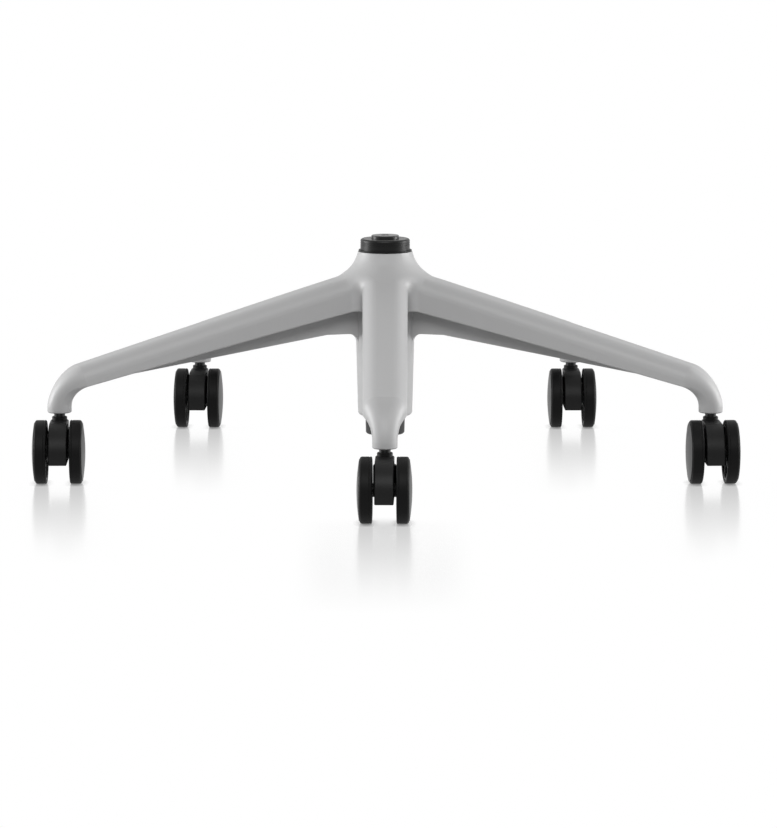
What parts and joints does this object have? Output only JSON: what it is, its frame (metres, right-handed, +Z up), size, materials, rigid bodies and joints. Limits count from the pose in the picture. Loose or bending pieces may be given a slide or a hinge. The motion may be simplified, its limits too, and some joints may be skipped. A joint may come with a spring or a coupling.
{
  "type": "office chair five star base",
  "caption": "Star base of an office chair: cast channel arms round a hub, a gas lift column in its bore and a swivelling twin-wheel caster under each arm end.",
  "frame": {"origin": "the hub axis where it meets the floor that the wheels stand on", "axes": "+Z up along the hub axis; the front arm points to -Y; the casters trail towards -Y, each within 3 degrees"},
  "size_m": [0.6999, 0.683, 0.2334],
  "materials": {
    "casting": "light grey satin powder coat",
    "column": "black satin paint",
    "black_trim": "black moulded plastic",
    "bush": "dark moulded plastic",
    "bearing_steel": "bright steel",
    "buffer_rubber": "black rubber",
    "polished_rod": "polished rod",
    "gas_tube": "dark satin tube",
    "release_button": "dull steel",
    "caster_housing": "black textured nylon",
    "stem_steel": "bright zinc plated steel",
    "wheel_core": "black nylon",
    "tread": "black soft tread",
    "wheel_cover": "black satin plastic"
  },
  "bodies": {
    "root": {"base_casting": "casting", "column_tube": "column", "trim_ring": "black_trim", "guide_bush": "bush", "thrust_bearing": "bearing_steel", "rubber_buffer": "buffer_rubber", "front_caster_stem": "stem_steel", "front_caster_grip_ring": "stem_steel", "right_caster_stem": "stem_steel", "right_caster_grip_ring": "stem_steel", "rear_right_caster_stem": "stem_steel", "rear_right_caster_grip_ring": "stem_steel", "rear_left_caster_stem": "stem_steel", "rear_left_caster_grip_ring": "stem_steel", "left_caster_stem": "stem_steel", "left_caster_grip_ring": "stem_steel"},
    "lift_spindle": {"piston_rod": "polished_rod", "retaining_clip": "bearing_steel"},
    "gas_cylinder": {"gas_cylinder": "gas_tube"},
    "release_pin": {"release_pin": "release_button"},
    "front_caster": {"front_caster_body": "caster_housing", "front_caster_axle": "stem_steel"},
    "front_caster_left_wheel": {"front_caster_left_wheel": "wheel_core", "front_caster_left_tread": "tread", "front_caster_left_cover": "wheel_cover"},
    "front_caster_right_wheel": {"front_caster_right_wheel": "wheel_core", "front_caster_right_tread": "tread", "front_caster_right_cover": "wheel_cover"},
    "right_caster": {"right_caster_body": "caster_housing", "right_caster_axle": "stem_steel"},
    "right_caster_left_wheel": {"right_caster_left_wheel": "wheel_core", "right_caster_left_tread": "tread", "right_caster_left_cover": "wheel_cover"},
    "right_caster_right_wheel": {"right_caster_right_wheel": "wheel_core", "right_caster_right_tread": "tread", "right_caster_right_cover": "wheel_cover"},
    "rear_right_caster": {"rear_right_caster_body": "caster_housing", "rear_right_caster_axle": "stem_steel"},
    "rear_right_caster_left_wheel": {"rear_right_caster_left_wheel": "wheel_core", "rear_right_caster_left_tread": "tread", "rear_right_caster_left_cover": "wheel_cover"},
    "rear_right_caster_right_wheel": {"rear_right_caster_right_wheel": "wheel_core", "rear_right_caster_right_tread": "tread", "rear_right_caster_right_cover": "wheel_cover"},
    "rear_left_caster": {"rear_left_caster_body": "caster_housing", "rear_left_caster_axle": "stem_steel"},
    "rear_left_caster_left_wheel": {"rear_left_caster_left_wheel": "wheel_core", "rear_left_caster_left_tread": "tread", "rear_left_caster_left_cover": "wheel_cover"},
    "rear_left_caster_right_wheel": {"rear_left_caster_right_wheel": "wheel_core", "rear_left_caster_right_tread": "tread", "rear_left_caster_right_cover": "wheel_cover"},
    "left_caster": {"left_caster_body": "caster_housing", "left_caster_axle": "stem_steel"},
    "left_caster_left_wheel": {"left_caster_left_wheel": "wheel_core", "left_caster_left_tread": "tread", "left_caster_left_cover": "wheel_cover"},
    "left_caster_right_wheel": {"left_caster_right_wheel": "wheel_core", "left_caster_right_tread": "tread", "left_caster_right_cover": "wheel_cover"}
  },
  "joints": [
    {"name": "column_swivel", "type": "hinge", "parent": "root", "child": "lift_spindle", "pos_m": [0, 0, 0.04], "axis": [0, 0, 1], "continuous": true},
    {"name": "gas_lift", "type": "slide", "parent": "lift_spindle", "child": "gas_cylinder", "axis": [0, 0, 1], "range_m": [0, 0.1]},
    {"name": "valve_press", "type": "slide", "parent": "gas_cylinder", "child": "release_pin", "axis": [0, 0, -1], "range_m": [0, 0.0025], "stiffness_N_per_m": 1200, "springref_m": -0.002},
    {"name": "front_caster_swivel", "type": "hinge", "parent": "root", "child": "front_caster", "pos_m": [0, -0.34, 0.045], "axis": [0, 0, 1], "continuous": true},
    {"name": "front_caster_left_roll", "type": "hinge", "parent": "front_caster", "child": "front_caster_left_wheel", "pos_m": [-0.01742, -0.3637, 0.0315], "axis": [0.9998, -0.0175, 0], "continuous": true},
    {"name": "front_caster_right_roll", "type": "hinge", "parent": "front_caster", "child": "front_caster_right_wheel", "pos_m": [0.01658, -0.36429, 0.0315], "axis": [0.9998, -0.0175, 0], "continuous": true},
    {"name": "right_caster_swivel", "type": "hinge", "parent": "root", "child": "right_caster", "pos_m": [0.32336, -0.10507, 0.045], "axis": [0, 0, 1], "continuous": true},
    {"name": "right_caster_left_roll", "type": "hinge", "parent": "right_caster", "child": "right_caster_left_wheel", "pos_m": [0.30742, -0.12978, 0.0315], "axis": [0.999, 0.0436, 0], "continuous": true},
    {"name": "right_caster_right_roll", "type": "hinge", "parent": "right_caster", "child": "right_caster_right_wheel", "pos_m": [0.34139, -0.1283, 0.0315], "axis": [0.999, 0.0436, 0], "continuous": true},
    {"name": "rear_right_caster_swivel", "type": "hinge", "parent": "root", "child": "rear_right_caster", "pos_m": [0.19985, 0.27507, 0.045], "axis": [0, 0, 1], "continuous": true},
    {"name": "rear_right_caster_left_roll", "type": "hinge", "parent": "rear_right_caster", "child": "rear_right_caster_left_wheel", "pos_m": [0.18327, 0.25077, 0.0315], "axis": [0.9998, 0.0175, 0], "continuous": true},
    {"name": "rear_right_caster_right_roll", "type": "hinge", "parent": "rear_right_caster", "child": "rear_right_caster_right_wheel", "pos_m": [0.21726, 0.25137, 0.0315], "axis": [0.9998, 0.0175, 0], "continuous": true},
    {"name": "rear_left_caster_swivel", "type": "hinge", "parent": "root", "child": "rear_left_caster", "pos_m": [-0.19985, 0.27507, 0.045], "axis": [0, 0, 1], "continuous": true},
    {"name": "rear_left_caster_left_roll", "type": "hinge", "parent": "rear_left_caster", "child": "rear_left_caster_left_wheel", "pos_m": [-0.21767, 0.25167, 0.0315], "axis": [0.9994, -0.0349, 0], "continuous": true},
    {"name": "rear_left_caster_right_roll", "type": "hinge", "parent": "rear_left_caster", "child": "rear_left_caster_right_wheel", "pos_m": [-0.18369, 0.25049, 0.0315], "axis": [0.9994, -0.0349, 0], "continuous": true},
    {"name": "left_caster_swivel", "type": "hinge", "parent": "root", "child": "left_caster", "pos_m": [-0.32336, -0.10507, 0.045], "axis": [0, 0, 1], "continuous": true},
    {"name": "left_caster_left_roll", "type": "hinge", "parent": "left_caster", "child": "left_caster_left_wheel", "pos_m": [-0.33994, -0.12936, 0.0315], "axis": [0.9998, 0.0175, 0], "continuous": true},
    {"name": "left_caster_right_roll", "type": "hinge", "parent": "left_caster", "child": "left_caster_right_wheel", "pos_m": [-0.30594, -0.12877, 0.0315], "axis": [0.9998, 0.0175, 0], "continuous": true}
  ]
}
